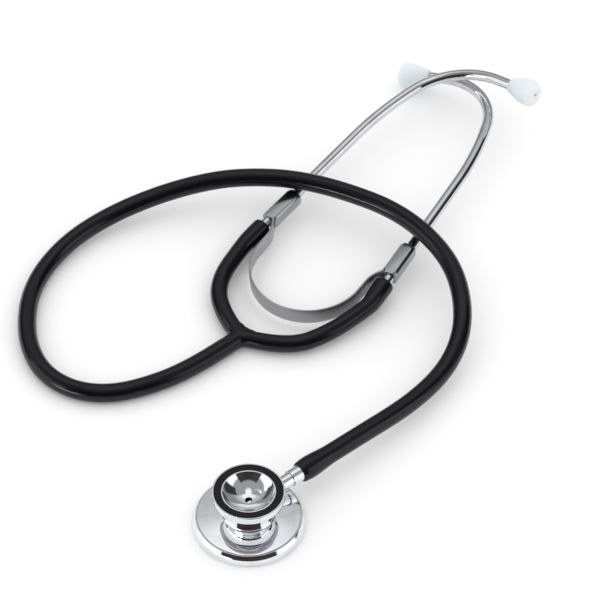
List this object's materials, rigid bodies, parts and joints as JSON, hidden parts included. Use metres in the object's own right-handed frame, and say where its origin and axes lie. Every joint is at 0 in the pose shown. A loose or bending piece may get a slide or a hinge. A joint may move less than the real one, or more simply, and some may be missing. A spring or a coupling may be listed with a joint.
{
  "type": "stethoscope",
  "caption": "Binaural stethoscope with a two-sided turning chestpiece, a black hose and yoke, sprung metal ear tubes and soft eartips, laid out on a table.",
  "frame": {"origin": "the middle of the diaphragm's outer face", "axes": "-Z out of the diaphragm, +Z out of the bell and up from the table, +Y away from the viewer towards the eartips, +X to the viewer's right"},
  "size_m": [0.233, 0.2953, 0.0336],
  "materials": {
    "chrome": "bright chrome plate",
    "tube_chrome": "bright chrome plate on tube",
    "spring_steel": "satin steel strip",
    "steel": "plain steel",
    "black_pvc": "glossy flexible tubing",
    "black_rubber": "matt soft rubber",
    "diaphragm_sheet": "thin laminate sheet",
    "white_silicone": "translucent soft silicone"
  },
  "bodies": {
    "tubing": {"hose": "black_pvc", "hose_cuff": "black_pvc", "yoke": "black_pvc", "left_branch": "black_pvc", "right_branch": "black_pvc", "leaf_spring": "spring_steel", "stem": "chrome", "stem_o_ring": "black_rubber"},
    "chestpiece": {"chestpiece_body": "chrome", "bell_ring": "chrome", "non_chill_ring": "black_rubber", "diaphragm": "diaphragm_sheet", "diaphragm_ring": "chrome", "detent_ball": "steel", "detent_spring": "steel", "detent_screw": "steel", "retaining_screw": "steel"},
    "left_arm": {"left_clip": "spring_steel"},
    "left_tube": {"left_ear_tube": "tube_chrome", "left_tip_nipple": "tube_chrome"},
    "left_tip": {"left_eartip": "white_silicone"},
    "right_arm": {"right_clip": "spring_steel"},
    "right_tube": {"right_ear_tube": "tube_chrome", "right_tip_nipple": "tube_chrome"},
    "right_tip": {"right_eartip": "white_silicone"}
  },
  "joints": [
    {"name": "chestpiece_turn", "type": "hinge", "parent": "tubing", "child": "chestpiece", "pos_m": [0, 0, 0.0112], "axis": [0.7716, 0.6361, 0], "continuous": true},
    {"name": "left_ear_spread", "type": "hinge", "parent": "tubing", "child": "left_arm", "pos_m": [0.00201, 0.13312, 0.00575], "axis": [-0.0357, -0.0537, 0.9979], "range_deg": [0, 40], "stiffness_Nm_per_rad": 1, "deforming": ["left_branch", "leaf_spring"]},
    {"name": "right_ear_spread", "type": "hinge", "parent": "tubing", "child": "right_arm", "pos_m": [0.02958, 0.1148, 0.00575], "axis": [-0.0357, -0.0537, 0.9979], "range_deg": [-40, 0], "stiffness_Nm_per_rad": 1, "deforming": ["right_branch", "leaf_spring"]},
    {"name": "left_ear_tube_turn", "type": "hinge", "parent": "left_arm", "child": "left_tube", "pos_m": [0.00439, 0.16515, 0.00756], "axis": [0.609, 0.7906, 0.0644], "range_deg": [-45, 0]},
    {"name": "right_ear_tube_turn", "type": "hinge", "parent": "right_arm", "child": "right_tube", "pos_m": [0.05819, 0.1294, 0.00756], "axis": [0.4928, 0.8678, 0.0644], "range_deg": [-45, 0]},
    {"name": "left_eartip_turn", "type": "hinge", "parent": "left_tube", "child": "left_tip", "pos_m": [0.11741, 0.23955, 0.025], "axis": [0.7233, -0.6615, 0.1981], "continuous": true},
    {"name": "right_eartip_turn", "type": "hinge", "parent": "right_tube", "child": "right_tip", "pos_m": [0.08247, 0.26276, 0.00851], "axis": [-0.9421, 0.2885, -0.1709], "continuous": true}
  ],
  "couplings": [
    {"joint": "right_ear_spread", "follows": "left_ear_spread", "ratio": -1}
  ]
}
